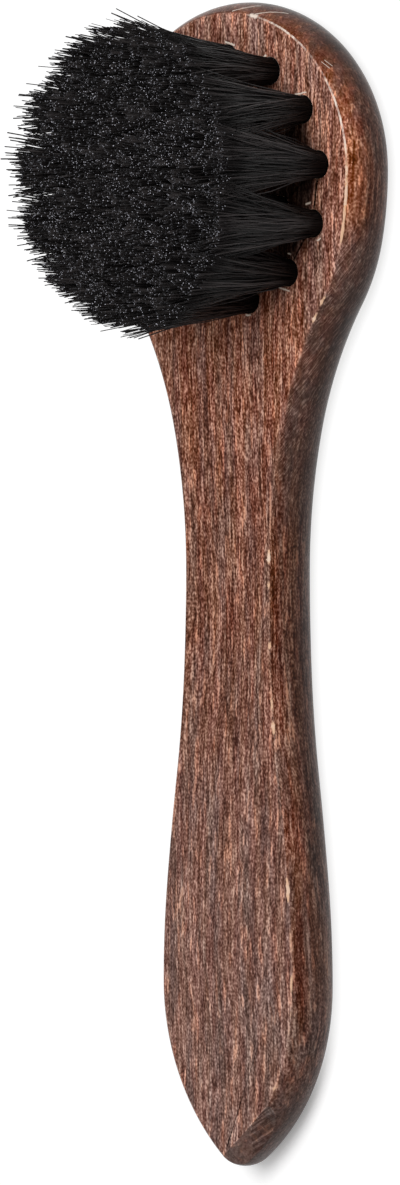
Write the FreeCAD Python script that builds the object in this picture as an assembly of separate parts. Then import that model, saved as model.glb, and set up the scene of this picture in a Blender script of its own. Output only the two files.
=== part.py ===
import FreeCAD, Part
import math
import os

os.makedirs("parts", exist_ok=True)

# Shoe shine brush lying on its back: bristles up along +Z, round head toward +X, tail toward -X.
# The origin is on the back face, under the centre of the round head. Lengths in millimetres.

# Tuft holes in the front face
hole_radius = 1.95
hole_depth = 5.8
drill_point = 0.7
inner_ring_radius = 4.1
row_spacing = 6.55        # from each ring of holes to the next
inner_ring_count = 3
middle_ring_count = 8
outer_ring_count = 13
middle_ring_radius = inner_ring_radius + row_spacing
outer_ring_radius = middle_ring_radius + row_spacing
pad_radius = outer_ring_radius + hole_radius

# Handle, with the outline sizes of its flat faces
wood_thickness = 8.8
side_bulge = 1.6          # rounded side, past the edge of the flat faces
head_margin = 3.25        # bare wood around the tufts
head_radius = pad_radius + head_margin
pad_setback = 1.2         # centre of the hole pattern, from the head's centre toward the tail
neck_reach = 18.3         # from the head's centre
neck_half_width = 17.8
neck_slope = math.radians(-33.0)
waist_past_neck = 37.7
waist_half_width = 7.9
swell_past_waist = 29.3
swell_half_width = 9.7
swell_slope = math.radians(7.9)
bulb_past_swell = 29.7
bulb_half_width = 12.3
tail_past_bulb = 24.4
tail_radius = 1.2

# Bristles
bristle_length = 22.0     # above the front face
fan_share = 0.75          # radius that a lone tuft fans out to, in row spacings
lengthwise_flare = 2.75   # of the whole pad, from the wood to the trimmed ends
tuft_gap = 0.1            # between neighbouring tufts
root_clearance = 0.05     # between a folded root and its hole or anchor

# Anchor strips
anchor_thickness = 0.45
anchor_height = 2.2
anchor_bite = 0.3         # into the wood on each side of the hole
anchor_rise = 1.0         # fold of hair between the hole's floor and the strip

# Overrun of cutting tools
overrun = 1.0

waist_reach = neck_reach + waist_past_neck
swell_reach = waist_reach + swell_past_waist
bulb_reach = swell_reach + bulb_past_swell
tail_reach = bulb_reach + tail_past_bulb
tuft_spread = fan_share * row_spacing
UP = FreeCAD.Vector(0, 0, 1)
CENTRE = FreeCAD.Vector(0, 0, 0)
front_level = wood_thickness
floor_level = front_level - hole_depth


def station(reach, half_width):
    return FreeCAD.Vector(-reach, half_width, 0)


def heading(slope):
    return FreeCAD.Vector(-math.cos(slope), math.sin(slope), 0)


def arc(start, along, end):
    """Circular edge that leaves start in the direction along."""
    chord = end - start
    turn = math.atan2(along.x * chord.y - along.y * chord.x, along.dot(chord))
    left = FreeCAD.Vector(-chord.y, chord.x, 0)
    middle = (start + end) / 2 - left * (math.tan(turn / 2) / 2)
    return Part.Arc(start, middle, end).toShape()


def two_arcs(start, along, end, away):
    """Two circular edges, tangent where they meet, from start to end with both directions given."""
    span = end - start
    lean = span.dot(along + away)
    spare = 2 * (1 - along.dot(away))
    arm = (math.sqrt(lean ** 2 + spare * span.dot(span)) - lean) / spare
    meet = (start + end + (along - away) * arm) / 2
    first = arc(start, along, meet)
    last = arc(end, away * -1, meet)
    return [first, Part.Arc(meet, last.valueAt((last.FirstParameter + last.LastParameter) / 2), end).toShape()]


def face_outline():
    """Half of a flat face's outline, from the head's crown to the tip of the tail."""
    crown = station(-head_radius, 0)
    widest = station(0, head_radius)
    neck = station(neck_reach, neck_half_width)
    waist = station(waist_reach, waist_half_width)
    swell = station(swell_reach, swell_half_width)
    bulb = station(bulb_reach, bulb_half_width)
    tip = station(tail_reach, 0)
    level = heading(0)
    # The tail's long curve starts level at the bulb and runs into the small round of the tip.
    run = tail_past_bulb - tail_radius
    drop = bulb_half_width - tail_radius
    tail_curve = (run ** 2 + drop ** 2) / (2 * drop) + tail_radius
    angle = math.atan2(run, tail_curve - bulb_half_width)
    nose = station(tail_reach - tail_radius + tail_radius * math.sin(angle), tail_radius * math.cos(angle))
    edges = [arc(crown, FreeCAD.Vector(0, 1, 0), widest)]
    edges += two_arcs(widest, level, neck, heading(neck_slope))
    edges += two_arcs(neck, heading(neck_slope), waist, level)
    edges += two_arcs(waist, level, swell, heading(swell_slope))
    edges += two_arcs(swell, heading(swell_slope), bulb, level)
    edges += [arc(bulb, level, nose), arc(nose, heading(-angle), tip)]
    return edges


def rounded_side(edge):
    """Side face over one arc of the outline: the bulged section turned about the arc's own centre."""
    start = edge.valueAt(edge.FirstParameter)
    end = edge.valueAt(edge.LastParameter)
    centre = edge.Curve.Center
    from_centre = start - centre
    to_end = end - centre
    sweep = math.atan2(from_centre.x * to_end.y - from_centre.y * to_end.x, from_centre.dot(to_end))
    # Toward the tail the wood lies on the left, so a right-hand turn has its centre outside.
    outward = from_centre if sweep > 0 else from_centre * -1
    outward.normalize()
    belly = start + outward * side_bulge + UP * (wood_thickness / 2)
    section = Part.Arc(start, belly, start + UP * wood_thickness).toShape()
    return section.revolve(centre, UP, math.degrees(sweep))


def blank():
    """Handle before drilling."""
    half = face_outline()
    across = FreeCAD.Vector(0, 1, 0)
    outline = half + [edge.mirror(CENTRE, across) for edge in half]
    sides = [rounded_side(edge) for edge in half]
    sides += [side.mirror(CENTRE, across) for side in sides]
    back = Part.Face(Part.Wire(Part.__sortEdges__(outline)))
    front = back.copy()
    front.translate(UP * wood_thickness)
    shell = Part.Shell(sides + [back, front])
    shell.sewShape()
    solid = Part.Solid(shell)
    if solid.Volume < 0:
        solid.reverse()
    return solid


def ring(count, radius, first_angle):
    """Hole centres of one ring on the front face, counted from the head end."""
    middle = FreeCAD.Vector(-pad_setback, 0, front_level)
    turns = [first_angle + 2 * math.pi * number / count for number in range(count)]
    return [middle + FreeCAD.Vector(math.cos(turn), math.sin(turn), 0) * radius for turn in turns]


def peg(place, clearance, top):
    """Round peg with a drill's point: the shape of a hole, or of the root that fills one."""
    radius = hole_radius - clearance
    foot = FreeCAD.Vector(place.x, place.y, floor_level)
    shank = Part.makeCylinder(radius, top - floor_level, foot)
    point = Part.makeCone(radius, 0, drill_point, foot, UP * -1)
    return shank.fuse(point)


def strip(place, clearance):
    """Flat strip across one hole, lying along Y."""
    length = 2 * (hole_radius + anchor_bite) + 2 * clearance
    width = anchor_thickness + 2 * clearance
    height = anchor_height + 2 * clearance
    corner = FreeCAD.Vector(-width / 2, -length / 2, floor_level + anchor_rise - clearance)
    return Part.makeBox(width, length, height, corner + FreeCAD.Vector(place.x, place.y, 0))


def pad_envelope():
    """Outer limit of all the bristles together, round at the wood and oval at the trimmed ends."""
    middle = FreeCAD.Vector(-pad_setback, 0, front_level)
    low = Part.Circle(middle, UP, pad_radius).toShape()
    high = Part.Ellipse(middle + UP * bristle_length, pad_radius + lengthwise_flare, pad_radius).toShape()
    return Part.makeLoft([Part.Wire(low), Part.Wire(high)], True, True)


def beyond(place, neighbour):
    """Space on the neighbour's side of the plane midway between two tufts."""
    step = neighbour - place
    depth = 2 * tuft_spread
    near = step.Length / 2 - tuft_gap / 2
    corner = FreeCAD.Vector(near, -depth, -overrun)
    box = Part.makeBox(depth, 2 * depth, bristle_length + 2 * overrun, corner)
    box.rotate(CENTRE, UP, math.degrees(math.atan2(step.y, step.x)))
    box.translate(place)
    return box


def tuft(place, others, envelope):
    """One bundle of hair: root folded under its strip, and a fan pressed flat against its neighbours."""
    fan = Part.makeCone(hole_radius - root_clearance, tuft_spread, bristle_length, place)
    fan = fan.common(envelope)
    near = [other for other in others if 0 < (other - place).Length < 2 * tuft_spread]
    fan = fan.cut([beyond(place, other) for other in near])
    root = peg(place, root_clearance, front_level)
    return fan.fuse(root).cut(strip(place, root_clearance)).removeSplitter()


rings = {
    "outer": ring(outer_ring_count, outer_ring_radius, 0),
    "middle": ring(middle_ring_count, middle_ring_radius, math.pi / middle_ring_count),
    "inner": ring(inner_ring_count, inner_ring_radius, math.pi / inner_ring_count),
}
places = [place for row in rings.values() for place in row]

anchors = [strip(place, 0) for place in places]
holes = [peg(place, 0, front_level + overrun) for place in places]
handle = blank().cut(holes).cut(anchors)
handle.exportStep("parts/handle.step")
Part.makeCompound(anchors).exportStep("parts/tuft_anchors.step")

envelope = pad_envelope()
for row, centres in rings.items():
    for number, place in enumerate(centres, start=1):
        tuft(place, places, envelope).exportStep(f"parts/{row}_tuft_{number:02d}.step")
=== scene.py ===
import cmath
import math
from types import SimpleNamespace

import bmesh
import bpy
import numpy as np
from mathutils import Matrix, Vector
from mathutils.kdtree import KDTree


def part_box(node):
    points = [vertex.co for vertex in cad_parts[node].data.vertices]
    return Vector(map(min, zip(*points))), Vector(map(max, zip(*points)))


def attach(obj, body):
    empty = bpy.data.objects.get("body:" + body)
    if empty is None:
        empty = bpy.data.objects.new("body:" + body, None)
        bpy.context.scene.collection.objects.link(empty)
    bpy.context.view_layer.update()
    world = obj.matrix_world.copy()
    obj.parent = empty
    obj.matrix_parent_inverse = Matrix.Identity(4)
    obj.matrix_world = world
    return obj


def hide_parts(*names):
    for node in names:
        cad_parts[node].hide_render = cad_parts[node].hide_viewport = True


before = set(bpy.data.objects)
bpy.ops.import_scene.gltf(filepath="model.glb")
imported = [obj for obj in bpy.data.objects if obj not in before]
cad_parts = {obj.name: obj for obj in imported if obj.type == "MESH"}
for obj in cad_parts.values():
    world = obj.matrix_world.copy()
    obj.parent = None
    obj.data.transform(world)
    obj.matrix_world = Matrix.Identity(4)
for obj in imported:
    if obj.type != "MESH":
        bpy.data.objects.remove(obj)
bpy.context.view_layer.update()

bl_info = {
    "name": "Shoe Shine Brush",
    "version": (1, 0, 0),
    "blender": (4, 5, 0),
    "location": "View3D > Sidebar > Brush",
    "description": "Wooden shoe shine brush with a round pad of black hair, on a white studio floor",
    "category": "Add Mesh",
}

MM = 0.001
WOOD_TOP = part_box("handle")[1][2]
PAD_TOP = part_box("outer_tuft_01")[1][2]
PAD_HEIGHT = PAD_TOP - WOOD_TOP
CLOSE = 0.001 * MM

# A point of each flat sanded on the tip, and the way that the flat faces.
TIP_FLATS = (
    (Vector((-0.13101, -0.00794, 0.0088)), Vector((-0.556, -0.558, 0.616)).normalized()),
    (Vector((-0.13794, -0.00068, 0.0088)), Vector((-0.558, -0.509, 0.656)).normalized()),
)
# The flats' borders with the side, with each other and with the front face, in millimetres.
TIP_RIDGES = (
    ((-131.0, -7.9, 8.8), (-131.6, -8.0, 8.2), (-132.6, -7.9, 7.4), (-134.2, -7.2, 6.6)),
    ((-134.4, -4.6, 8.8), (-137.9, -3.2, 6.9)),
    ((-131.0, -7.9, 8.8), (-134.4, -4.6, 8.8), (-137.9, -0.7, 8.8)),
)


def length(name, default, description):
    return bpy.props.FloatProperty(
        name=name, description=description, default=default, unit="LENGTH", subtype="DISTANCE", precision=5)


def colour(name, default, description):
    return bpy.props.FloatVectorProperty(
        name=name, description=description, default=default, subtype="COLOR", size=3, min=0, max=1)


def point(name, default, description):
    return bpy.props.FloatVectorProperty(
        name=name, description=description, default=default, subtype="TRANSLATION", unit="LENGTH", size=3)


def power(name, default, description):
    return bpy.props.FloatProperty(name=name, description=description, default=default, unit="POWER")


class HandleSettings(bpy.types.PropertyGroup):
    """Sizes, stain and painted side shade of the beech handle."""
    thickness: length("Thickness", WOOD_TOP, "Height of the board between its flat faces")
    side_bulge: length("Side bulge", 1.6 * MM, "How far the rounded side stands past the flat faces")
    head_radius: length("Head radius", 22.4 * MM, "Flat face of the round head")
    neck_reach: length("Neck reach", 18.3 * MM, "From the head's centre to the steepest point of the neck")
    neck_half: length("Neck half width", 17.8 * MM, "Flat face at the neck")
    waist_reach: length("Waist reach", 56.0 * MM, "From the head's centre to the waist")
    waist_half: length("Waist half width", 7.9 * MM, "Flat face at the waist")
    swell_reach: length("Swell reach", 85.3 * MM, "From the head's centre to the steepest point of the grip")
    swell_half: length("Swell half width", 9.7 * MM, "Flat face at that point")
    bulb_reach: length("Bulb reach", 115.0 * MM, "From the head's centre to the widest point of the grip")
    bulb_half: length("Bulb half width", 12.3 * MM, "Flat face at the widest point of the grip")
    tail_reach: length("Tail reach", 139.4 * MM, "From the head's centre to the tip")
    tail_radius: length("Tail radius", 1.2 * MM, "Round of the tip")
    edge_round: length("Edge round", 0.35 * MM, "Softening of the edges of the flat faces")
    pore_brown: colour("Pores", (0.046, 0.011, 0.005), "Stain that has gathered in the pores")
    dark_stain: colour("Dark stain", (0.130, 0.046, 0.028), "Stain on the soft grain")
    light_stain: colour("Light stain", (0.290, 0.137, 0.099), "Stain on the hard grain")
    pale_fleck: colour("Pale flecks", (0.62, 0.36, 0.27), "Rays in the wood that take little stain")
    worn_stain: colour("Worn stain", (0.70, 0.34, 0.15), "Edges where the stain is rubbed thin")
    bare_wood: colour("Bare wood", (0.93, 0.79, 0.68), "Wood that shows where the edges are worn through")
    # Painted shade: darkens the rounded side and the hole walls, standing in for the lower light they get.
    side_painted_shade: bpy.props.FloatProperty(
        name="Side stain", description="Shade of the rounded side next to the flat faces",
        default=0.76, min=0, max=1)


class BristleSettings(bpy.types.PropertyGroup):
    """Sizes and colours of the hair tufts."""
    hole_radius: length("Hole radius", 1.95 * MM, "Drilled hole of one tuft")
    hole_depth: length("Hole depth", 5.8 * MM, "Depth of a hole under the front face")
    ring_spacing: length("Ring spacing", 6.55 * MM, "From each ring of holes to the next")
    inner_ring: length("Inner ring", 4.1 * MM, "Radius of the innermost ring of holes")
    pad_setback: length("Pad setback", 1.2 * MM, "From the head's centre to the pad's, toward the tail")
    flare: length("Flare", 2.75 * MM, "Lengthwise growth of the pad from the wood to the trimmed ends")
    hair_radius: length("Hair radius", 0.08 * MM, "Radius of one hair at its root")
    hairs: bpy.props.IntProperty(name="Hairs", description="Hairs in one tuft", default=600, min=20, max=900)
    hair_black: colour("Hair black", (0.0068, 0.0057, 0.0057), "Sides of the hairs")
    hair_grey: colour("Hair grey", (0.077, 0.067, 0.067), "Sides of the palest hairs")
    # Paler trimmed ends: partly their own colour, partly painted glint.
    cut_end_and_glint: colour("Cut end", (0.52, 0.52, 0.58), "Trimmed ends of the palest hairs")


class StageSettings(bpy.types.PropertyGroup):
    """Camera, floor and light."""
    camera_place: point("Camera", (-0.01795, -0.56796, 0.62808), "Place of the camera")
    camera_aim: point("Aim", (-0.05929, 0.00470, 0.00929), "Point at the middle of the picture")
    lens: bpy.props.FloatProperty(name="Lens", description="Focal length", default=181.06, unit="CAMERA")
    floor_white: colour("Floor", (0.35, 0.35, 0.35), "Colour of the floor as it lights the brush")
    key_power: power("Key power", 6.3, "Softbox over the head")
    fill_power: power("Fill power", 1.2, "Softbox over the tail")
    sky_light: bpy.props.FloatProperty(
        name="Room light", description="Even light from all round", default=0.15)


def deselect():
    if bpy.context.object and bpy.context.object.mode != "OBJECT":
        bpy.ops.object.mode_set(mode="OBJECT")
    bpy.ops.object.select_all(action="DESELECT")


def active(piece):
    deselect()
    piece.select_set(True)
    bpy.context.view_layer.objects.active = piece


def select(piece, kind, test):
    """In edit mode, selects just the vertices, edges or faces that pass the test."""
    bpy.ops.mesh.select_all(action="DESELECT")
    bpy.ops.mesh.select_mode(type=kind)
    mesh = bmesh.from_edit_mesh(piece.data)
    for item in {"VERT": mesh.verts, "EDGE": mesh.edges, "FACE": mesh.faces}[kind]:
        item.select = bool(test(item))
    mesh.select_flush_mode()
    bmesh.update_edit_mesh(piece.data)


def store(mesh, name, domain, values):
    """Keeps a number for each point or face, for the material to read."""
    mesh.attributes.new(name, "FLOAT", domain).data.foreach_set("value", values)


def finish_piece(piece, name, slot, *nodes):
    piece.name = piece.data.name = name
    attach(piece, "root")
    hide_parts(*nodes)


# Node trees

class Wire:
    """One output of a node, so that a pattern can be written as a formula."""

    def __init__(self, tree, socket):
        self.tree = tree
        self.socket = socket

    def maths(self, operation, first, second=0.0, clamp=False):
        settings = {"operation": operation, "use_clamp": clamp}
        return wire(self.tree, "ShaderNodeMath", 0, settings, _0=first, _1=second)

    def __add__(self, other):
        return self.maths("ADD", self, other)

    def __sub__(self, other):
        return self.maths("SUBTRACT", self, other)

    def __rsub__(self, other):
        return self.maths("SUBTRACT", other, self)

    def __mul__(self, other):
        return self.maths("MULTIPLY", self, other)

    def __abs__(self):
        return self.maths("ABSOLUTE", self)

    def most(self, other):
        return self.maths("MAXIMUM", self, other)

    def clamped(self):
        return self.maths("MULTIPLY", self, 1.0, clamp=True)

    def ramp(self, low, high, start=0.0, end=1.0):
        """Goes smoothly from start to end while this value goes from low to high."""
        return wire(self.tree, "ShaderNodeMapRange", 0, {"interpolation_type": "SMOOTHSTEP"}, Value=self,
                    From_Min=low, From_Max=high, To_Min=start, To_Max=end)

    def vector(self, operation, other, result=0):
        return wire(self.tree, "ShaderNodeVectorMath", result, {"operation": operation}, _0=self, _1=other)


def fill(tree, node, values):
    """Gives a node's inputs, by name or _number, a value or a wire."""
    for name, value in values.items():
        socket = node.inputs[int(name[1:]) if name[0] == "_" else name.replace("_", " ")]
        if isinstance(value, Wire):
            tree.links.new(value.socket, socket)
        else:
            socket.default_value = value


def add(tree, kind, settings=None, **values):
    made = tree.nodes.new(kind)
    for name, value in (settings or {}).items():
        setattr(made, name, value)
    fill(tree, made, values)
    return made


def wire(tree, kind, output, settings=None, **values):
    """Adds a node and gives one of its outputs."""
    return Wire(tree, add(tree, kind, settings, **values).outputs[output])


def blend(tree, share, first, second, mode="MIX"):
    settings = {"data_type": "RGBA", "blend_type": mode}
    return wire(tree, "ShaderNodeMix", 2, settings, _0=share, _6=first, _7=second)


def attribute(tree, name):
    return wire(tree, "ShaderNodeAttribute", "Fac", {"attribute_name": name})


def in_millimetres(tree):
    place = wire(tree, "ShaderNodeTexCoord", "Object")
    return wire(tree, "ShaderNodeVectorMath", 0, {"operation": "SCALE"}, _0=place, Scale=1 / MM)


def split(vector):
    """The three parts of a vector."""
    made = add(vector.tree, "ShaderNodeSeparateXYZ", Vector=vector)
    return [Wire(vector.tree, socket) for socket in made.outputs]


def new_material(name):
    made = bpy.data.materials.new(name)
    made.use_nodes = True
    tree = made.node_tree
    return made, tree, tree.nodes["Principled BSDF"]


def rgb(values):
    return (*values, 1.0)


# Patterns, with rates in cycles per millimetre

def streaks(place, along, across, shift=0.0, detail=3.0, rough=0.6):
    """Noise drawn out along the grain; shift picks another stretch of it."""
    mapped = wire(place.tree, "ShaderNodeMapping", 0, Vector=place, Scale=(along, across, across),
                  Location=(shift, shift * 1.7, shift * 0.6))
    return wire(place.tree, "ShaderNodeTexNoise", 0, Vector=mapped, Scale=1.0, Detail=detail, Roughness=rough)


def strokes(place, way, shift, along=0.5, across=5.0):
    """Fine parallel scratches that run in the direction way."""
    way = Vector(way).normalized()
    side = way.orthogonal().normalized()
    rates = ((way, along), (side, across), (way.cross(side), across))
    parts = [place.vector("DOT_PRODUCT", tuple(axis * rate), "Value") for axis, rate in rates]
    turned = wire(place.tree, "ShaderNodeCombineXYZ", 0, X=parts[0] + shift, Y=parts[1], Z=parts[2])
    return wire(place.tree, "ShaderNodeTexNoise", 0, Vector=turned, Scale=1.0, Detail=1.0)


def nicks(place, runs):
    """Share of bare wood in scratches and chips, each a run between two points with a half width."""
    rate, sway, core = 2.2, 0.4, 0.35
    noise = wire(place.tree, "ShaderNodeTexNoise", "Color", Vector=place, Scale=rate, Detail=2.0)
    ragged = noise.vector("SUBTRACT", (0.5, 0.5, 0.5)).vector("MULTIPLY", (sway, sway, sway))
    shown = None
    for start, end, half in runs:
        span = end - start
        loose = min(half * 4.0, 1.0)
        moved = place.vector("ADD", ragged.vector("MULTIPLY", (loose, loose, loose)))
        reach = moved.vector("SUBTRACT", tuple(start))
        share = reach.vector("DOT_PRODUCT", tuple(span / span.length_squared), "Value").clamped()
        scale = {"operation": "SCALE"}
        foot = wire(place.tree, "ShaderNodeVectorMath", 0, scale, _0=tuple(span), Scale=share)
        mark = reach.vector("DISTANCE", foot, "Value").ramp(core * half, half, 1.0, 0.0)
        shown = mark if shown is None else shown.most(mark)
    return shown


# Wood finish, with places in millimetres from the head's centre

# Rate along and across the grain, shift, detail, roughness and weight of each layer of the grain.
FINE_LAYERS = (
    (2.6, 4.4, 91.0, 0.0, 0.5, 1.35),
    (0.60, 3.6, 43.0, 1.0, 0.5, 1.35),
    (0.18, 2.8, 11.0, 1.0, 0.6, 1.15),
    (0.03, 2.0, 0.0, 1.0, 0.5, 0.8),
)
BROAD_LAYERS = (
    (0.14, 0.7, 23.0, 2.0, 0.5, 0.40),
    (0.012, 0.22, 37.0, 2.0, 0.5, 0.30),
)
PATCHY_LAYER = FINE_LAYERS[1]
GRAIN_LEVEL = 0.47
STAIN_STOPS = (0.0, 0.34, 0.66, 1.0)
WARM_FLECK = (1.12, 0.96, 0.86, 1.0)
RIDGE_HALF = 0.20

# Torn stain round the outer holes: hole, turn and half turn in degrees, distance and half width.
RIM_CHIPS = (
    (1, -16, 22, 2.3, 0.19), (13, 30, 14, 2.3, 0.20), (12, 7, 24, 2.45, 0.15), (10, 15, 7, 2.9, 0.26),
    (10, 209, 6, 2.55, 0.18), (9, -9, 5, 2.65, 0.19), (9, 166, 22, 2.6, 0.17), (8, 180, 10, 2.2, 0.21),
    (5, 100, 14, 2.3, 0.24), (3, 40, 12, 2.4, 0.22),
)
# Scratches on the rounded side of the head: points of turn in degrees and height, then half width.
HEAD_SCRATCHES = (
    ((-2.0, 8.5), (-6.4, 7.5), (-10.2, 6.4), 0.15),
    ((-13.1, 8.5), (-17.1, 7.3), (-21.8, 5.9), 0.15),
    ((-48.8, 8.15), (-52.2, 7.7), 0.06),
    ((-48.5, 7.7), (-51.7, 7.2), 0.06),
    ((-11.8, 8.79), (-14.0, 8.79), 0.48),
)


def rim_chips(bristles):
    """Runs of the places round the outer holes where the drill tore the stained surface."""
    holes = ring_places(bristles)["outer"]
    runs = []
    for number, turn, half_turn, reach, half in RIM_CHIPS:
        ends = []
        for angle in (math.radians(turn - half_turn), math.radians(turn + half_turn)):
            ends.append(holes[number - 1] / MM + Vector((math.cos(angle), math.sin(angle), 0)) * reach)
        runs.append((*ends, half))
    return runs


def on_side(size, turn, height):
    """A point on the rounded side of the head."""
    radius = side_radius(size)
    lift = height * MM - size.thickness / 2
    reach = size.head_radius + size.side_bulge - radius + math.sqrt(radius ** 2 - lift ** 2)
    turn = math.radians(turn)
    return Vector((reach * math.cos(turn), reach * math.sin(turn), height * MM)) / MM


def head_scratches(size):
    runs = []
    for *line, half in HEAD_SCRATCHES:
        places = [on_side(size, *mark) for mark in line]
        runs += [(first, after, half) for first, after in zip(places, places[1:])]
    return runs


def wood_surface(tree):
    """Where a point of the handle is, which way it faces and how it is worn."""
    fixed = in_millimetres(tree)
    drift = streaks(fixed, 0.02, 0.06, 3.0, 1.0) * 5.0 + streaks(fixed, 0.16, 0.5, 7.0, 1.0) * 0.55
    sway = wire(tree, "ShaderNodeCombineXYZ", 0, Y=drift, Z=drift * 0.7)
    place = fixed.vector("ADD", sway)
    x, y, z = split(fixed)
    facing_x, _, facing_z = split(wire(tree, "ShaderNodeTexCoord", "Normal"))
    edge = attribute(tree, "edge")

    flat = abs(facing_z).ramp(0.70, 0.97)
    crisp = x.ramp(-98.0, -84.0, 5.0, 1.0) + x.ramp(-38.0, -25.0, 0.0, 4.0)
    blurred = edge * streaks(place, 0.25, 1.2, 5.0, 2.0).ramp(0.3, 0.7, 0.5, 2.2) * crisp
    side = (0.5 - flat) * blurred.ramp(0.0, 1.0) + 0.5
    neck = x.ramp(-54.0, -38.0) * x.ramp(-12.0, -5.0, 1.0, 0.0)
    return SimpleNamespace(
        tree=tree, fixed=fixed, place=place, x=x, y=y, z=z,
        facing_z=facing_z, endwise=abs(facing_x), rising=facing_z.ramp(-0.05, 0.5),
        edge=edge, rub=attribute(tree, "rub"), sanded=attribute(tree, "sanded"),
        side=side, neck_side=side * neck,
        patchy=streaks(place, 0.05, 0.4, 29.0, 1.0).ramp(0.3, 0.7, 0.75, 1.2),
        greyed=streaks(place, 0.07, 0.55, 83.0, 2.0, 0.5).ramp(0.40, 0.70, 0.0, 0.18),
    )


def wood_grain(wood):
    """Lightness of the lengthwise fibre, and the share of pale flecks in it."""
    place, x, side = wood.place, wood.x, wood.side
    fine = wood.endwise.ramp(0.15, 0.65, 1.0, 0.40)
    grain = GRAIN_LEVEL
    for layer in FINE_LAYERS + BROAD_LAYERS:
        *rates, weight = layer
        part = (streaks(place, *rates) - 0.5) * weight
        if layer in FINE_LAYERS:
            part = part * (fine * wood.patchy if layer is PATCHY_LAYER else fine)
        grain = part + grain
    bands = streaks(place, 0.04, 1.2, 19.0, 1.0, 0.5) - 0.5
    grain = grain + bands * (side * fine)

    calm = 1.0 - wood.neck_side * 0.6
    contrast = x.ramp(-110.0, -50.0, 0.75, 0.93) - side * x.ramp(-16.0, -4.0, 0.0, 0.22)
    grain = (grain - GRAIN_LEVEL) * (contrast * calm) + GRAIN_LEVEL
    flecks = streaks(place, 0.22, 1.4, 61.0, 1.0, 0.5).ramp(0.56, 0.69) * calm
    grain = grain + flecks * 0.22
    return grain, flecks


def tool_marks(wood, grain):
    """The grain with what tools and hands left on it: scuffs, brushing, sanding and burnished edges."""
    fixed = wood.fixed
    near_edge = wood.side * wood.edge.ramp(0.3, 1.2, 1.0, 0.35)
    scuffs = strokes(fixed, (0.6, 0.0, 0.8), 17.0).ramp(0.58, 0.74, 0.0, 0.42)
    grain = grain + scuffs * near_edge
    brushed = strokes(fixed, (0.78, -0.51, -0.36), 23.0, 0.6, 5.0).ramp(0.46, 0.70, -0.06, 0.34)
    grain = grain + brushed * wood.neck_side
    smoothed = wood.sanded.ramp(0.0, 0.4, 1.0, 0.7)
    grain = (grain - 0.5) * smoothed + 0.5
    rasp = strokes(fixed, (0.55, -0.80, -0.23), 29.0, 0.2, 2.6).ramp(0.38, 0.66, -0.14, 0.20)
    grain = grain + rasp * wood.sanded.ramp(0.6, 1.0)
    burnished = wood.edge.ramp(0.04, 0.13, 1.0, 0.0) * wood.x.ramp(-48.0, -40.0, 0.40, 0.20)
    grain = grain + burnished * wood.patchy
    ridges = []
    for line in TIP_RIDGES:
        ridges += [(Vector(first), Vector(after), RIDGE_HALF) for first, after in zip(line, line[1:])]
    broken = streaks(fixed, 1.1, 1.1, 13.0, 1.0).ramp(0.42, 0.60, 0.0, 0.26)
    return (grain + nicks(fixed, ridges) * broken).clamped()


def stain(wood, grain, flecks, settings):
    """Colour of the stained wood from the darkest pore to the palest fleck."""
    tree, x, side = wood.tree, wood.x, wood.side
    made = add(tree, "ShaderNodeValToRGB", Fac=grain)
    stops = made.color_ramp.elements
    tones = (settings.pore_brown, settings.dark_stain, settings.light_stain, settings.pale_fleck)
    while len(stops) < len(tones):
        stops.new(0.5)
    for stop, position, tone in zip(stops, STAIN_STOPS, tones):
        stop.position = position
        stop.color = rgb(tone)

    depth = x.ramp(-125.0, -30.0, 0.88, 1.12) + x.ramp(-24.0, -8.0, 0.0, -0.08)
    depth = depth - wood.greyed + side.ramp(0.0, 1.0, 0.0, 0.10)
    depth = depth - wood.sanded.ramp(0.0, 0.4, 0.0, 0.2)
    redder = x.ramp(-90.0, -78.0, 0.10, 0.02) + x.ramp(-14.0, -2.0, 0.0, 0.06)
    red_side = side * redder * x.ramp(-126.0, -118.0)
    depth = depth + red_side * wood.rising
    depth = depth - wood.neck_side * 0.22
    hue = streaks(wood.place, 0.06, 0.9, 53.0, 2.0, 0.5).ramp(0.34, 0.66, 0.4955, 0.5045)
    plain = Wire(tree, made.outputs[0])
    tone = wire(tree, "ShaderNodeHueSaturation", 0, Color=plain, Saturation=depth, Hue=hue)
    return blend(tree, flecks, tone, blend(tree, 1.0, tone, WARM_FLECK, "MULTIPLY"))


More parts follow.
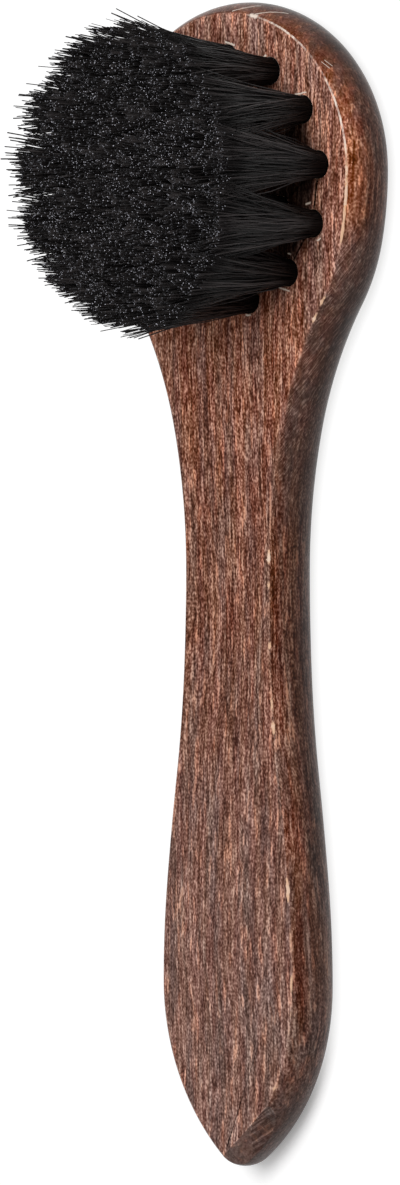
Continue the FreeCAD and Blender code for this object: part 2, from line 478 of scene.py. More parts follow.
def wood_shade(wood, settings, bristles):
    """How dark the stain lies on end grain and the sanded flats, with painted shade on the rounded side, its
    lower half, the neck's side and the wood among the tufts, painted light on the upper side at the head and
    swell and toward the head, the tail end lighter and darker blotches on the crown.
    """
    tree, x, side, rising, sanded = wood.tree, wood.x, wood.side, wood.rising, wood.sanded
    # Painted shade on the lower half of the side, where it faces down; less of it at the bulb and tail.
    lower = 1.0 - rising.most(wood.facing_z.ramp(-0.95, -0.65, 1.0, 0.0))
    upright = 1.0 - lower * x.ramp(-105.0, -92.0, 0.12, 0.42)
    # Painted light on the upper part of the side at the swell of the grip and at the head.
    swell = x.ramp(-102.0, -90.0, 0.0, 0.35) * x.ramp(-78.0, -66.0, 1.0, 0.0)
    lit_round = rising * side * (swell + x.ramp(-14.0, 0.0, 0.0, 0.5)) + 1.0
    end_grain = wood.endwise.ramp(0.15, 0.80).ramp(0.0, 1.0, 1.0, 0.60)
    # Painted light toward the head, making up for the shade of the pad; the tail end is also made lighter.
    painted_light_to_head = x.ramp(-50.0, -8.0, 1.0, 1.35)
    to_tail = x.ramp(-115.0, -70.0, 1.1, 1.0)
    flats = sanded.ramp(0.0, 0.4, 1.0, 1.5) * sanded.ramp(0.6, 1.0, 1.0, 0.7)
    # Darker blotches on the side at the crown.
    crown_blotches = streaks(wood.fixed, 0.30, 0.30, 67.0, 2.0).ramp(0.46, 0.62, 0.0, 0.34)
    unblotched = 1.0 - crown_blotches * side * x.ramp(13.0, 18.0)

    # Painted shade on the wood among the tufts and on the hole walls, lighter toward the crown.
    across_pad = wire(tree, "ShaderNodeCombineXYZ", 0, X=x + bristles.pad_setback / MM, Y=wood.y)
    from_axis = wire(tree, "ShaderNodeVectorMath", "Value", {"operation": "LENGTH"}, _0=across_pad)
    below = wood.z.ramp(1.0, 3.0, 1.0, 0.0)
    clear_of_painted_tuft_shade = from_axis.ramp(15.2, 17.4).most(below).most(x.ramp(4.5, 8.5, 0.14, 0.75))

    shade = side.ramp(0.0, 1.0, 1.0, settings.side_painted_shade) * upright * lit_round * end_grain
    shade = shade * wood.greyed.ramp(0.0, 0.18, 1.03, 0.88) * painted_light_to_head * to_tail * flats
    # Painted shade darkens the neck's side and the wood among the tufts.
    return shade * wood.neck_side.ramp(0.0, 1.0, 1.0, 0.74) * unblotched * clear_of_painted_tuft_shade


def bare_marks(wood, settings, bristles):
    """Where the stain is worn or torn off, and how pale the wood is there."""
    x, rub = wood.x, wood.rub
    chips = streaks(wood.place, 0.55, 1.3, 71.0, 3.0, 0.65).ramp(0.30, 0.70, 0.1, 1.5)
    even = chips + (1.0 - chips) * x.ramp(-13.0, -9.0, 0.5, 0.65)
    worn = (rub * even - wood.edge).ramp(-0.02, 0.07)
    torn = nicks(wood.fixed, rim_chips(bristles) + head_scratches(settings))
    head_rim = chips.ramp(0.5, 1.2, 0.0, 0.5).most(x.ramp(0.5, 5.0, 0.1, 1.0)) * x.ramp(-6.2, -5.2)
    grip_spots = rub.ramp(0.2, 0.36, 0.30, 0.62) * x.ramp(-6.2, -5.2, 1.0, 0.0)
    return worn.most(torn), (head_rim + grip_spots).most(torn)


def beech(settings, bristles):
    """Brown-stained beech: lengthwise fibre, pores, pale flecks, dark end grain and worn edges, with painted
    shade and painted light.
    """
    made, tree, shader = new_material("stained_beech")
    wood = wood_surface(tree)
    grain, flecks = wood_grain(wood)
    grain = tool_marks(wood, grain)
    tone = stain(wood, grain, flecks, settings)
    shade = wood_shade(wood, settings, bristles)
    dim = wire(tree, "ShaderNodeCombineXYZ", 0, X=shade, Y=shade, Z=shade)
    tone = blend(tree, 1.0, tone, dim, "MULTIPLY")
    worn, bleached = bare_marks(wood, settings, bristles)
    bare = blend(tree, bleached, rgb(settings.worn_stain), rgb(settings.bare_wood))
    fill(tree, shader, {
        "Base Color": blend(tree, worn, tone, bare),
        "Specular IOR Level": 0.05,
        "Coat Weight": 0.5,
        "Coat IOR": 1.25,
        "Coat Roughness": 0.18,
        "Roughness": grain.ramp(0.0, 1.0, 0.62, 0.40) + worn * 0.2,
        "Normal": wire(tree, "ShaderNodeBump", 0, Height=grain, Strength=0.35, Distance=0.08 * MM),
    })
    return made


# Hair and steel finish

DARK_END = 0.055


def horsehair(settings):
    """Black horsehair: each hair its own shade, with painted shade on the sides near the root and near the
    trimmed end, and paler trimmed ends that are partly painted glint.
    """
    made, tree, shader = new_material("black_horsehair")
    shade = attribute(tree, "shade")
    along = attribute(tree, "along")
    # Painted shade on the sides of the hairs near the wood and near the trimmed ends, where the pad shades
    # them; it also lowers their specular.
    hair_clear_of_painted_shade = along.ramp(0.75, 1.0, 1.0, 0.35) * along.ramp(0.02, 0.3, 0.1, 1.0)
    grey = shade.ramp(0.2, 1.0) * hair_clear_of_painted_shade
    sides = blend(tree, grey, rgb(settings.hair_black), rgb(settings.hair_grey))
    place = wire(tree, "ShaderNodeTexCoord", "Object")
    clumps = wire(tree, "ShaderNodeTexNoise", 0, Vector=place, Scale=420.0, Detail=2.0)
    # The trimmed ends' paleness is partly their own colour and partly painted glint.
    lit = shade.ramp(0.1, 1.0) * clumps.ramp(0.36, 0.62, 0.35, 1.1)
    dark_end = rgb([DARK_END * value for value in settings.cut_end_and_glint])
    ends = blend(tree, lit, dark_end, rgb(settings.cut_end_and_glint))
    fill(tree, shader, {
        "Base Color": blend(tree, attribute(tree, "cut_end_and_glint"), sides, ends),
        "Roughness": shade.ramp(0.0, 1.0, 0.40, 0.52),
        "Specular IOR Level": hair_clear_of_painted_shade.ramp(0.0, 1.0, 0.06, 0.25),
    })
    return made


def strip_steel():
    """Drawn flat steel wire, streaked along its length."""
    made, tree, shader = new_material("strip_steel")
    mapped = wire(tree, "ShaderNodeMapping", 0, Vector=in_millimetres(tree), Scale=(9.0, 0.5, 9.0))
    scratches = wire(tree, "ShaderNodeTexNoise", 0, Vector=mapped, Scale=1.0, Detail=4.0)
    fill(tree, shader, {
        "Base Color": blend(tree, scratches, (0.36, 0.36, 0.37, 1.0), (0.62, 0.62, 0.63, 1.0)),
        "Roughness": scratches.ramp(0.3, 0.7, 0.25, 0.5),
        "Metallic": 1.0,
    })
    return made


# Handle

NECK_SLOPE = math.radians(33.0)
SWELL_SLOPE = math.radians(7.9)
OUTLINE_STEP = 0.9 * MM
WEAR_STEP = 0.2 * MM
SIDE_MARGIN = 0.6 * MM
SIDE_STEPS = 10
FACE_INSETS = (0.45 * MM, 0.55 * MM)
CAP_CORNERS = 40
DRILL_OVERSHOOT = 1 * MM
DRILL_POINT = 0.7 * MM
DRILL_SIDES = 40
HOLE_EDGE_ROUND = 0.15 * MM
HOLE_EDGE = 2.0 * MM
HOLE_EDGE_BAND = 0.4 * MM
HOLE_EDGE_DEPTHS = (0.01 * MM, 0.3 * MM)
SMOOTH_ANGLE = math.radians(32)
RINGS = (("inner", 3), ("middle", 8), ("outer", 13))

# Width of the stain rubbed off along the near front edge, by lengthwise place, in millimetres.
EDGE_WEAR = (
    (-100.0, 0.05), (-52.0, 0.04), (-48.0, 0.0), (-16.0, 0.0), (-11.0, 0.05), (-9.0, 0.18), (-6.0, 0.22),
    (-2.0, 0.18), (2.0, 0.14), (11.0, 0.13), (13.0, 0.09), (17.0, 0.09), (18.5, 0.13), (20.5, 0.13),
    (21.5, 0.10), (22.0, 0.10), (22.1, 0.05),
)
# Bare spots on that edge: lengthwise place, reach along the edge and width, in millimetres.
EDGE_SPOTS = (
    (-18.0, 0.5, 0.31), (-20.4, 0.6, 0.36), (-54.0, 0.9, 0.42), (-57.6, 0.5, 0.20), (-62.4, 0.4, 0.18),
    (-66.4, 0.6, 0.21), (-74.7, 0.9, 0.26), (-77.9, 0.7, 0.35), (-100.5, 1.7, 0.31), (-107.0, 6.0, 0.09),
    (-113.7, 0.9, 0.24), (-118.0, 8.0, 0.11), (-128.4, 0.5, 0.22), (-130.0, 0.35, 0.18),
)
PLAIN_RUB = 0.08
HOLE_RUB = 0.16
EDGE_SOFT = 0.07
EDGE_FAR = 1.2


def arc(start, along, end):
    """Centre, turn and radius of the arc that leaves start in the direction along, on complex numbers."""
    chord = end - start
    turn = cmath.phase(chord / along)
    radius = abs(chord) / (2 * math.sin(turn))
    return start + 1j * along * radius, 2 * turn, abs(radius)


def two_arcs(start, along, end, away):
    """Two arcs, tangent where they meet, between two points with both directions given."""
    def dot(first, second):
        return (first * second.conjugate()).real
    span = end - start
    lean = dot(span, along + away)
    spare = 2 * (1 - dot(along, away))
    arm = (math.sqrt(lean ** 2 + spare * abs(span) ** 2) - lean) / spare
    meet = (start + end + arm * (along - away)) / 2
    first = arc(start, along, meet)
    return [first, arc(meet, along * cmath.exp(1j * first[1]), end)]


def half_outline(size):
    """Arcs of the flat face's edge on the +Y side, from the crown of the head to the tip of the tail."""
    neck_way = -cmath.exp(1j * NECK_SLOPE)
    swell_way = -cmath.exp(-1j * SWELL_SLOPE)
    widest = 1j * size.head_radius
    neck = complex(-size.neck_reach, size.neck_half)
    waist = complex(-size.waist_reach, size.waist_half)
    swell = complex(-size.swell_reach, size.swell_half)
    bulb = complex(-size.bulb_reach, size.bulb_half)
    nose = size.tail_radius
    run = size.tail_reach - size.bulb_reach - nose
    drop = size.bulb_half - nose
    sweep = (run ** 2 + drop ** 2) / (2 * drop) + nose
    angle = math.atan2(run, sweep - size.bulb_half)
    touch = complex(nose - size.tail_reach - nose * math.sin(angle), nose * math.cos(angle))
    arcs = [arc(complex(size.head_radius), 1j, widest)]
    arcs += two_arcs(widest, -1, neck, neck_way)
    arcs += two_arcs(neck, neck_way, waist, -1)
    arcs += two_arcs(waist, -1, swell, swell_way)
    arcs += two_arcs(swell, swell_way, bulb, -1)
    arcs += [arc(bulb, -1 + 0j, touch), arc(touch, -cmath.exp(1j * angle), complex(-size.tail_reach))]
    return arcs


def outline_steps(size, step):
    """The outline as turns, each with its number of steps of about the given length."""
    arcs = half_outline(size)
    return [(middle, angle, max(4, math.ceil(reach * abs(angle) / step))) for middle, angle, reach in arcs]


def side_radius(size):
    """Radius of the arc that rounds the side."""
    half = size.thickness / 2
    return (half ** 2 + size.side_bulge ** 2) / (2 * size.side_bulge)


def spin(centre, axis, angle, steps):
    """Turns the selected edges by the right-hand rule, leaving a skin behind them."""
    bpy.ops.mesh.spin(steps=steps, angle=angle, center=centre, axis=tuple(-value for value in axis))


def ring_places(size):
    """Hole centres of each ring, on the front face."""
    rings = {}
    for step, (row, count) in enumerate(RINGS):
        radius = size.inner_ring + step * size.ring_spacing
        first = 0.0 if row == "outer" else math.pi / count
        turns = [first + 2 * math.pi * number / count for number in range(count)]
        rings[row] = [
            Vector((radius * math.cos(turn) - size.pad_setback, radius * math.sin(turn), WOOD_TOP))
            for turn in turns]
    return rings


def hole_places(size):
    return [place for row in ring_places(size).values() for place in row]


def on_level(edge, level):
    """Whether an edge lies in the plane of a flat face."""
    return all(abs(vertex.co.z - level) < CLOSE for vertex in edge.verts)


def is_cap(face, level):
    """Whether a face is the whole flat face at that level."""
    return len(face.verts) > CAP_CORNERS and abs(face.calc_center_median().z - level) < 10 * CLOSE


def board(size):
    """The handle before drilling: its rounded side spun round the outline and closed with flat faces."""
    deselect()
    bpy.ops.mesh.primitive_plane_add(size=size.side_bulge, location=(size.head_radius, 0, 0))
    bpy.ops.object.transform_apply(location=True)
    piece = bpy.context.object
    bpy.ops.object.mode_set(mode="EDIT")
    bpy.ops.mesh.select_all(action="SELECT")
    bpy.ops.mesh.merge(type="CENTER")
    half = size.thickness / 2
    radius = side_radius(size)
    centre = (size.head_radius + size.side_bulge - radius, 0, half)
    opening = 2 * math.asin(half / radius)
    margin = SIDE_MARGIN / radius
    for angle, steps in ((margin, 1), (opening - 2 * margin, SIDE_STEPS), (margin, 1)):
        spin(centre, (0, -1, 0), angle, steps)
    bpy.ops.mesh.select_all(action="SELECT")
    for middle, angle, steps in outline_steps(size, OUTLINE_STEP):
        spin((middle.real, middle.imag, 0), (0, 0, 1), angle, steps)
    bpy.ops.object.mode_set(mode="OBJECT")
    mirror = piece.modifiers.new("mirror", "MIRROR")
    mirror.use_axis = (False, True, False)
    mirror.merge_threshold = 10 * CLOSE
    bpy.ops.object.modifier_apply(modifier=mirror.name)
    bpy.ops.object.mode_set(mode="EDIT")
    bpy.ops.mesh.select_all(action="SELECT")
    bpy.ops.mesh.remove_doubles(threshold=5 * CLOSE)
    levels = (0.0, size.thickness)
    for level in levels:
        select(piece, "EDGE", lambda edge: on_level(edge, level))
        bpy.ops.mesh.edge_face_add()
    bpy.ops.mesh.select_all(action="SELECT")
    bpy.ops.mesh.normals_make_consistent(inside=False)
    select(piece, "EDGE", lambda edge: any(on_level(edge, level) for level in levels))
    bpy.ops.mesh.bevel(offset=size.edge_round, offset_type="OFFSET", segments=3, profile=0.5, affect="EDGES")
    for level in levels:
        select(piece, "FACE", lambda face: is_cap(face, level))
        for step in FACE_INSETS:
            bpy.ops.mesh.inset(thickness=step, depth=0.0)
    for place, way in TIP_FLATS:
        bpy.ops.mesh.select_all(action="SELECT")
        bpy.ops.mesh.bisect(
            plane_co=place, plane_no=way, use_fill=True, clear_outer=True, threshold=0.5 * CLOSE)
    bpy.ops.object.mode_set(mode="OBJECT")
    return piece


def on_flat(normal, middle, place, way):
    """Whether a face lies in one of the flats sanded on the tip."""
    return normal.dot(way) > 0.9999 and abs((middle - place).dot(way)) < 3 * CLOSE


def drill(piece, size):
    """Blind holes with a drill's point, and a slightly softened rim."""
    holes = hole_places(size)
    depth = size.hole_depth + DRILL_OVERSHOOT
    cutters = []
    for place in holes:
        deselect()
        bpy.ops.mesh.primitive_cylinder_add(
            vertices=DRILL_SIDES, radius=size.hole_radius, depth=depth,
            location=(place.x, place.y, WOOD_TOP + DRILL_OVERSHOOT - depth / 2))
        cutter = bpy.context.object
        bpy.ops.object.mode_set(mode="EDIT")
        select(cutter, "FACE", lambda face: face.normal.z < -0.9)
        bpy.ops.mesh.extrude_region_move(TRANSFORM_OT_translate={"value": (0, 0, -DRILL_POINT)})
        bpy.ops.mesh.merge(type="CENTER")
        bpy.ops.object.mode_set(mode="OBJECT")
        bpy.ops.object.transform_apply(location=True)
        cutters.append(cutter)
    deselect()
    for cutter in cutters:
        cutter.select_set(True)
    bpy.context.view_layer.objects.active = cutters[0]
    bpy.ops.object.join()
    cutter = bpy.context.object
    active(piece)
    cut = piece.modifiers.new("holes", "BOOLEAN")
    cut.object, cut.operation, cut.solver = cutter, "DIFFERENCE", "EXACT"
    bpy.ops.object.modifier_apply(modifier=cut.name)
    bpy.data.objects.remove(cutter, do_unlink=True)

    def on_rim(vertex):
        if abs(vertex.co.z - WOOD_TOP) >= CLOSE:
            return False
        return any(abs((vertex.co - hole).length - size.hole_radius) < 10 * CLOSE for hole in holes)

    bpy.ops.object.mode_set(mode="EDIT")
    select(piece, "EDGE", lambda edge: all(on_rim(vertex) for vertex in edge.verts))
    bpy.ops.mesh.bevel(offset=HOLE_EDGE_ROUND, offset_type="OFFSET", segments=2, profile=0.5, affect="EDGES")
    bpy.ops.object.mode_set(mode="OBJECT")


def edge_points(size):
    """Points along the sharp edge of the flat face, on the +Y side."""
    points = []
    here = complex(size.head_radius)
    for middle, angle, steps in outline_steps(size, WEAR_STEP):
        points += [middle + (here - middle) * cmath.exp(1j * angle * step / steps) for step in range(steps)]
        here = middle + (here - middle) * cmath.exp(1j * angle)
    return points + [here]


def sanded_marks(piece):
    """Marks the flats sanded on the tip, and keeps their borders crisp."""
    active(piece)
    bpy.ops.object.mode_set(mode="EDIT")
    for place, way in TIP_FLATS:
        select(piece, "FACE", lambda face: on_flat(face.normal, face.calc_center_median(), place, way))
        bpy.ops.mesh.region_to_loop()
        bpy.ops.mesh.mark_sharp()
    bpy.ops.object.mode_set(mode="OBJECT")
    marks = []
    for face in piece.data.polygons:
        flats = [on_flat(face.normal, face.center, place, way) for place, way in TIP_FLATS]
        marks.append(1.0 if flats[0] else 0.5 if flats[1] else 0.0)
    store(piece.data, "sanded", "FACE", marks)


def near_edge_rub(x):
    """Width of the stain rubbed off at a place along the near front edge."""
    spots = [width * math.exp(-((x - spot) / reach) ** 2) for spot, reach, width in EDGE_SPOTS]
    return max(float(np.interp(x, *zip(*EDGE_WEAR))), *spots)


def at_hole_edge(place, hole, size):
    """Whether a point is on the softened edge of a hole."""
    away = Vector((place.x - hole.x, place.y - hole.y, 0)).length
    shallow, deep = HOLE_EDGE_DEPTHS
    return abs(away - HOLE_EDGE) < HOLE_EDGE_BAND and shallow < size.thickness - place.z < deep


def wear_marks(piece, size, holes):
    """Stores each point's distance from an edge, and the width of the stain rubbed off along it."""
    outline = edge_points(size)
    levels = (0.0, size.thickness)
    corners = [
        (spot.real, side * spot.imag, level)
        for spot in outline for side in (-1, 1) for level in levels]
    tree = KDTree(len(corners))
    for number, corner in enumerate(corners):
        tree.insert(corner, number)
    tree.balance()
    edges, rubs = [], []
    for vertex in piece.data.vertices:
        place = vertex.co
        away = max(tree.find(place)[2] / MM - EDGE_SOFT, 0.0)
        near_front = place.y < 0 and place.z > size.thickness / 2
        rub = near_edge_rub(place.x / MM) if near_front else PLAIN_RUB
        if any(at_hole_edge(place, hole, size) for hole in holes):
            away, rub = 0.0, HOLE_RUB
        edges.append(min(away, EDGE_FAR))
        rubs.append(rub)
    store(piece.data, "edge", "POINT", edges)
    store(piece.data, "rub", "POINT", rubs)


class BRUSH_OT_handle(bpy.types.Operator):
    """Model the beech handle with its drilled holes"""
    bl_idname = "brush.handle"
    bl_label = "Handle"

    def execute(self, context):
        size = context.scene.brush_handle
        bristles = context.scene.brush_bristles
        piece = board(size)
        drill(piece, bristles)
        sanded_marks(piece)
        wear_marks(piece, size, hole_places(bristles))
        active(piece)
        bpy.ops.object.shade_smooth_by_angle(angle=SMOOTH_ANGLE, keep_sharp_edges=True)
        piece.data.materials.clear()
        piece.data.materials.append(beech(size, bristles))
        finish_piece(piece, "brush_handle", "wood", "handle")
        return {"FINISHED"}


# Bristles

SEED = 41
HAIR_SIDES = 4
HAIR_LEVELS = (0.0, 0.2, 0.45, 0.72, 1.0)
ROOT_DEPTH = 4.6 * MM
FULL_TURN = 6.28
# Places on the pad, as shares of its radius toward the far side, the crown and the rim.
NEAR_SIDE = 0.2
CROWN_SIDE = 0.6
NEAR_RIM = 0.6
LOOSE_RIM = 0.7
STRAY_RIM = 0.86
TALL_RIM = 0.88
# Shares of the hairs.
LEADERS = 0.12
ASTRAY_SHARE = 0.28
LEANING_SHARE = 0.12
SHORT_SHARE = 0.04
TALL_SHARE = 0.22
# How the hairs differ.
END_SCATTER = 0.30 * MM
BUNDLE_PULL = 0.2
STRAY_REACH = 0.8 * MM
STRAY_LIMIT = 2.4 * MM
CORNER_TRIM = 1.2 * MM
RIM_SCATTER = 0.5 * MM
CROSSING = 0.35 * MM
ASTRAY_CROSSING = 5.0
NEAR_WIDENING = 0.15
CUT_BELOW = 0.12 * MM
CUT_SPREAD = 0.14 * MM
CUT_LIMIT = 0.3 * MM
SHORT_HAIRS = (0.3 * MM, 1.5 * MM)
TALL_REACH = 0.9 * MM
TALL_LIMIT = 3.2 * MM
WORN_CORNER = 1.3 * MM
BEND = 0.30 * MM
KINK = 0.14 * MM
CUT_SLANT = 0.35


def pad_radius(size):
    """Radius of the pad where the hair leaves the wood."""
    return size.inner_ring + 2 * size.ring_spacing + size.hole_radius


def cell_reach(place, others, ways, size):
    """How far a tuft's ends may spread each way, up to its neighbours and the pad's outer limit."""
    reach = np.full(len(ways), 0.9 * size.ring_spacing)
    for other in others:
        step = np.array((other.x - place.x, other.y - place.y))
        gap = np.hypot(*step)
        if 0 < gap < 3 * size.ring_spacing:
            toward = ways @ (step / gap)
            halfway = np.where(toward > 0.05, gap / 2 / np.maximum(toward, 0.05), np.inf)
            reach = np.minimum(reach, halfway)
    wide_half = pad_radius(size)
    long_half = wide_half + size.flare
    x, y = (place.x + size.pad_setback) / long_half, place.y / wide_half
    u, v = ways[:, 0] / long_half, ways[:, 1] / wide_half
    a, b, c = u * u + v * v, x * u + y * v, x * x + y * y - 1
    return np.minimum(reach, (-b + np.sqrt(np.maximum(b * b - a * c, 0))) / a)


def gather(ends, draw, share):
    """Draws hair ends together into small bundles, and tells which bundle each hair is in."""
    leaders = ends[draw.random(len(ends)) < LEADERS]
    bundle = np.argmin(((ends[:, None] - leaders[None]) ** 2).sum(2), axis=1)
    return ends + share * (leaders[bundle] - ends), bundle


def spread(place, others, size, draw):
    """Hairs packed in their hole, with ends fanned out over the tuft's cell of the pad."""
    count = size.hairs
    number = np.arange(count)
    share = np.sqrt((number + 0.5) / count)
    turn = number * math.pi * (3 - math.sqrt(5)) + draw.uniform(0, FULL_TURN)
    ways = np.stack([np.cos(turn), np.sin(turn)], 1)
    root = ways * (share * (size.hole_radius - 1.5 * size.hair_radius))[:, None]
    tip = ways * (share * cell_reach(place, others, ways, size))[:, None]
    tip, bundle = gather(tip + draw.normal(0, END_SCATTER, (count, 2)), draw, BUNDLE_PULL)

    pad_middle = np.array((-size.pad_setback, 0.0))
    spot = np.array((place.x, place.y)) + tip - pad_middle
    outward = spot / np.linalg.norm(spot, axis=1)[:, None]
    crown, far = outward[:, 0], outward[:, 1]
    wide_half = pad_radius(size)
    rim = np.hypot(spot[:, 0] / (wide_half + size.flare), spot[:, 1] / wide_half)
    wild = np.where(far < -0.2, 0.2, 1.0) * np.where(far > 0.8, 1.7, 1.0) * np.where(crown < -0.35, 0.45, 1.0)
    loose = (rim > STRAY_RIM) & (draw.random(count) < np.where(far > 0.6, 0.4, 0.3))
    splay = np.minimum(np.where(loose, draw.exponential(STRAY_REACH, count), 0.0) * wild, STRAY_LIMIT)
    flick = (outward * (0.5, 1.0) + draw.normal(0, 0.2, (count, 2))) * splay[:, None]

    corner = np.clip((-crown - 0.55) / 0.25, 0, 1) * (far > 0) * (rim > 0.75)
    tip -= outward * (CORNER_TRIM * corner)[:, None]
    tangent = np.stack([-far, crown], 1)
    tip += tangent * np.where(rim > STRAY_RIM, draw.normal(0, RIM_SCATTER, count), 0.0)[:, None]
    astray = draw.random(count) < ASTRAY_SHARE
    cross = draw.normal(0, CROSSING, count) * np.where(astray, ASTRAY_CROSSING, 1.0)
    tip += tangent * (cross[bundle] * (rim > LOOSE_RIM) * np.where(far < NEAR_SIDE, 1.0, 0.3))[:, None]
    near = (far < NEAR_SIDE) & (crown < CROWN_SIDE) & (rim > NEAR_RIM)
    tip += tangent * (NEAR_WIDENING * (tip * tangent).sum(1) * near)[:, None]
    return SimpleNamespace(
        count=count, root=root, tip=tip, bundle=bundle, crown=crown, far=far, rim=rim,
        wild=wild, splay=splay, flick=flick, astray=astray, near=near)


def trim(hairs, draw):
    """Height of each hair over the wood: cut level, with some short ones and upright strays at the rim."""
    count, rim = hairs.count, hairs.rim
    height = PAD_HEIGHT + draw.normal(-CUT_BELOW, CUT_SPREAD, count)
    height -= (draw.random(count) < SHORT_SHARE) * draw.uniform(*SHORT_HAIRS, count)
    height = np.minimum(height, PAD_HEIGHT + CUT_LIMIT) - 0.3 * hairs.splay
    upright = (rim > TALL_RIM) & (draw.random(count) < TALL_SHARE)
    height += np.minimum(np.where(upright, draw.exponential(TALL_REACH, count), 0.0) * hairs.wild, TALL_LIMIT)
    height -= np.clip((rim - 0.8) / 0.2, 0, 1) * draw.uniform(0, WORN_CORNER, count) * (hairs.far < 0.3)
    return height


def fanning(hairs, draw):
    """Power of each hair's curve from root to end: a low one leans out close to the wood."""
    count, far = hairs.count, hairs.far
    curve = draw.uniform(1.05, 1.6, count) * np.where(hairs.astray, 0.85, 1.0)[hairs.bundle]
    curve *= np.where(far > NEAR_SIDE, 0.8, 1.0)
    leaning = hairs.near & (draw.random(count) < LEANING_SHARE)
    curve = np.where(leaning, draw.uniform(0.75, 1.0, count), curve)
    at_crown = (far < NEAR_SIDE) & (hairs.crown > CROWN_SIDE)
    return np.where(at_crown, draw.uniform(1.2, 1.9, count), curve)[:, None]


def hair_mesh(name, points, levels, pale, own):
    """Skins the rings of points along each hair, and stores what the material reads."""
    count, rows, sides = points.shape[:3]
    per_hair = rows * sides
    below = np.arange(rows - 1)[:, None] * sides
    first = below + np.arange(sides)
    after = below + (np.arange(sides) + 1) % sides
    skin = np.stack([first, after, after + sides, first + sides], 2).reshape(-1, 4)
    ring = np.arange(sides)
    one = np.concatenate([skin, [ring[::-1], ring + per_hair - sides]])
    faces = (one[None] + (np.arange(count) * per_hair)[:, None, None]).reshape(-1, 4)
    mesh = bpy.data.meshes.new(name)
    mesh.from_pydata(points.reshape(-1, 3).tolist(), [], faces.tolist())
    smooth = np.ones((count, len(one)), bool)
    smooth[:, -2:] = False
    mesh.polygons.foreach_set("use_smooth", smooth.ravel())
    cut = np.zeros((count, len(one)), np.float32)
    cut[:, -1] = 1.0
    shade = np.repeat(pale[:, None], len(one), axis=1).astype(np.float32)
    shade[:, -1] = own
    along = np.tile(np.repeat(np.maximum(levels, 0.0), sides), count).astype(np.float32)
    store(mesh, "cut_end_and_glint", "FACE", cut.ravel())
    store(mesh, "along", "POINT", along)
    store(mesh, "shade", "FACE", shade.ravel())
    return mesh


def tuft(name, place, others, size, draw, material):
    """One tuft: hairs packed in the hole, fanning out to their cell of the pad and trimmed level."""
    hairs = spread(place, others, size, draw)
    height = trim(hairs, draw)
    curve = fanning(hairs, draw)
    count = hairs.count
    bend = draw.normal(0, BEND, (count, 2))
    kink = draw.normal(0, KINK, (count, 2))
    own = draw.random(count) ** 2.2
    pale = 0.85 * draw.random(count)[hairs.bundle] ** 3 + 0.5 * own
    thick = size.hair_radius * (draw.uniform(0.75, 1.1, count) + 0.3 * (hairs.splay > 0.5 * MM))
    thick = thick * (0.95 + 0.3 * pale)
    roll = draw.uniform(0, FULL_TURN, count)
    slant = draw.normal(0, CUT_SLANT, (count, 2))

    levels = np.array((-ROOT_DEPTH / PAD_HEIGHT, *HAIR_LEVELS))
    corner = roll[:, None] + np.arange(HAIR_SIDES) * (2 * math.pi / HAIR_SIDES)
    ring = np.stack([np.cos(corner), np.sin(corner)], 2)
    points = np.empty((count, len(levels), HAIR_SIDES, 3))
    for row, level in enumerate(levels):
        up = max(level, 0.0)
        middle = hairs.root + (hairs.tip - hairs.root) * up ** curve
        middle += bend * math.sin(math.pi * up) + kink * math.sin(3 * math.pi * up)
        middle += hairs.flick * up ** 3
        wide = thick * (1.0 - 0.15 * up)
        points[:, row, :, :2] = middle[:, None, :] + ring * wide[:, None, None] + (place.x, place.y)
        rise = height * level if level > 0 else np.full(count, PAD_HEIGHT * level)
        points[:, row, :, 2] = rise[:, None] + WOOD_TOP
    points[:, -1, :, 2] += np.einsum("nsk,nk->ns", ring, slant) * thick[:, None]

    mesh = hair_mesh(name, points, levels, pale, own)
    mesh.materials.append(material)
    piece = bpy.data.objects.new(name, mesh)
    bpy.context.scene.collection.objects.link(piece)
    return piece


class BRUSH_OT_bristles(bpy.types.Operator):
    """Grow the horsehair tufts out of their holes"""
    bl_idname = "brush.bristles"
    bl_label = "Bristle tufts"

    def execute(self, context):
        size = context.scene.brush_bristles
        places = hole_places(size)
        material = horsehair(size)
        draw = np.random.default_rng(SEED)
        for row, centres in ring_places(size).items():
            for number, place in enumerate(centres, start=1):
                node = f"{row}_tuft_{number:02d}"
                piece = tuft(node + "_hair", place, places, size, draw, material)
                finish_piece(piece, node + "_hair", "bristle", node)
        return {"FINISHED"}


class BRUSH_OT_anchors(bpy.types.Operator):
    """Finish the steel strips that hold the tufts in their holes"""
    bl_idname = "brush.anchors"
    bl_label = "Tuft anchors"

    def execute(self, context):
        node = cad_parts["tuft_anchors"]
        node.data.materials.clear()
        node.data.materials.append(strip_steel())
        return {"FINISHED"}


# Stage

FLOOR_SIZE = 6.0
FLOOR_GAP = 0.05 * MM
LIGHT_AIM = Vector((-0.05, 0, 0))
KEY_PLACE, KEY_WIDTH = Vector((0.18, -0.17, 0.84)), 0.50
FILL_PLACE, FILL_WIDTH = Vector((-0.35, -0.05, 0.85)), 0.60
# Middle of the shadow at the tip, and the distances between which it fades, in millimetres.
TIP_SHADOW = (-146.0, -6.0, 0.0)
SHADOW_FADE = (12.0, 28.0)
# Colour and glow of the floor as the camera sees it, in that shadow and elsewhere.
TIP_PAPER, TIP_GLOW = 0.92, 0.25
PAPER, PAPER_GLOW = 0.30, 0.79
SENSOR_HEIGHT = 36.0
CLIP = (0.01, 20.0)


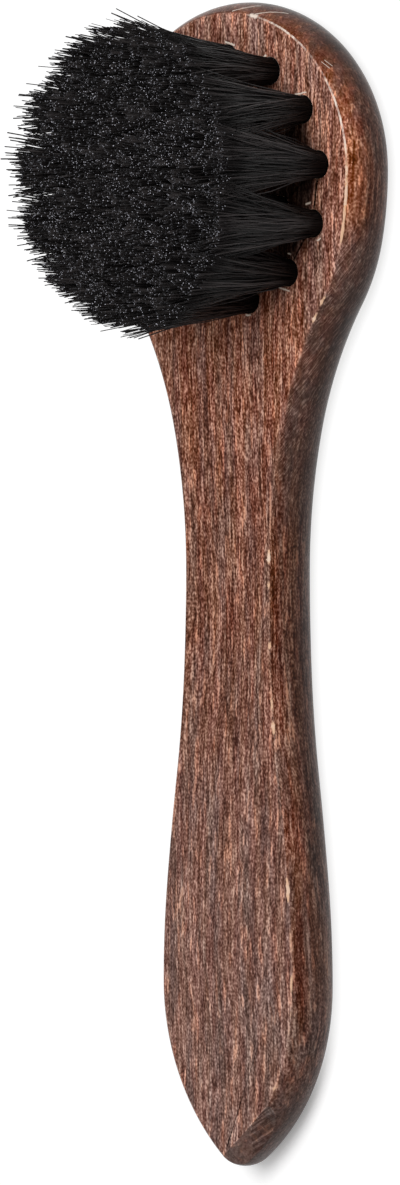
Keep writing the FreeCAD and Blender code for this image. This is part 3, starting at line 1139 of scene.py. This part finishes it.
def floor_paint(settings):
    """White floor that the camera sees as paper white, with the brush's shadow on it."""
    made = bpy.data.materials.new("white_floor")
    made.use_nodes = True
    tree = made.node_tree
    tree.nodes.clear()
    path = add(tree, "ShaderNodeLightPath")
    kinds = ("Is Camera Ray", "Is Glossy Ray", "Is Transmission Ray")
    camera, glossy, through = (Wire(tree, path.outputs[kind]) for kind in kinds)
    seen = (camera + glossy + through).clamped()
    plain = wire(tree, "ShaderNodeBsdfDiffuse", 0, Color=rgb(settings.floor_white))
    from_tip = in_millimetres(tree).vector("DISTANCE", TIP_SHADOW, "Value")
    paper = blend(tree, from_tip.ramp(*SHADOW_FADE), rgb([TIP_PAPER] * 3), rgb([PAPER] * 3))
    matt = wire(tree, "ShaderNodeBsdfDiffuse", 0, Color=paper)
    lift = from_tip.ramp(*SHADOW_FADE, TIP_GLOW, PAPER_GLOW)
    glow = wire(tree, "ShaderNodeEmission", 0, Color=(1, 1, 1, 1), Strength=lift)
    lifted = wire(tree, "ShaderNodeAddShader", 0, _0=matt, _1=glow)
    mixed = wire(tree, "ShaderNodeMixShader", 0, _0=seen, _1=plain, _2=lifted)
    add(tree, "ShaderNodeOutputMaterial", Surface=mixed)
    return made


def look_along(place, aim, up):
    """Place and rotation of a camera or lamp that points at aim."""
    back = (Vector(place) - Vector(aim)).normalized()
    right = Vector(up).cross(back).normalized()
    return Matrix.Translation(place) @ Matrix((right, back.cross(right), back)).transposed().to_4x4()


class BRUSH_OT_stage(bpy.types.Operator):
    """Set up the floor, the light and the camera"""
    bl_idname = "brush.stage"
    bl_label = "Stage"

    def execute(self, context):
        settings = context.scene.brush_stage
        deselect()
        bpy.ops.mesh.primitive_plane_add(size=FLOOR_SIZE, location=(0, 0, -FLOOR_GAP))
        bpy.ops.object.transform_apply(location=True)
        ground = context.object
        ground.name = "floor"
        ground.data.materials.append(floor_paint(settings))

        for name, place, wide, watts in (
                ("softbox", KEY_PLACE, KEY_WIDTH, settings.key_power),
                ("fill", FILL_PLACE, FILL_WIDTH, settings.fill_power)):
            lamp = bpy.data.lights.new(name, "AREA")
            lamp.shape, lamp.size, lamp.energy = "SQUARE", wide, watts
            box = bpy.data.objects.new(name, lamp)
            box.matrix_world = look_along(place, LIGHT_AIM, (0, 1, 0))
            context.scene.collection.objects.link(box)

        world = bpy.data.worlds.new("room")
        world.use_nodes = True
        world.node_tree.nodes["Background"].inputs["Color"].default_value = (1, 1, 1, 1)
        world.node_tree.nodes["Background"].inputs["Strength"].default_value = settings.sky_light
        context.scene.world = world

        lens = bpy.data.cameras.new("camera")
        lens.sensor_fit, lens.sensor_height, lens.lens = "VERTICAL", SENSOR_HEIGHT, settings.lens
        lens.clip_start, lens.clip_end = CLIP
        camera = bpy.data.objects.new("camera", lens)
        camera.matrix_world = look_along(Vector(settings.camera_place), settings.camera_aim, (1, 0, 0))
        context.scene.collection.objects.link(camera)
        context.scene.camera = camera
        context.scene.view_settings.view_transform = "Standard"
        return {"FINISHED"}


class BRUSH_PT_sidebar(bpy.types.Panel):
    """Sizes, colours and steps of the brush"""
    bl_idname = "BRUSH_PT_sidebar"
    bl_label = "Shoe Shine Brush"
    bl_space_type = "VIEW_3D"
    bl_region_type = "UI"
    bl_category = "Brush"

    def draw(self, context):
        for step in STEPS:
            self.layout.operator(step.bl_idname)
        for group in (context.scene.brush_handle, context.scene.brush_bristles, context.scene.brush_stage):
            column = self.layout.column()
            for name in group.__annotations__:
                column.prop(group, name)


GROUPS = {"brush_handle": HandleSettings, "brush_bristles": BristleSettings, "brush_stage": StageSettings}
STEPS = (BRUSH_OT_handle, BRUSH_OT_bristles, BRUSH_OT_anchors, BRUSH_OT_stage)


def register():
    for item in (*GROUPS.values(), *STEPS, BRUSH_PT_sidebar):
        bpy.utils.register_class(item)
    for name, group in GROUPS.items():
        setattr(bpy.types.Scene, name, bpy.props.PointerProperty(type=group))


def unregister():
    for name in GROUPS:
        delattr(bpy.types.Scene, name)
    for item in reversed((*GROUPS.values(), *STEPS, BRUSH_PT_sidebar)):
        bpy.utils.unregister_class(item)


def main():
    register()
    bpy.ops.brush.handle()
    bpy.ops.brush.bristles()
    bpy.ops.brush.anchors()
    bpy.ops.brush.stage()


if __name__ == "__main__":
    main()
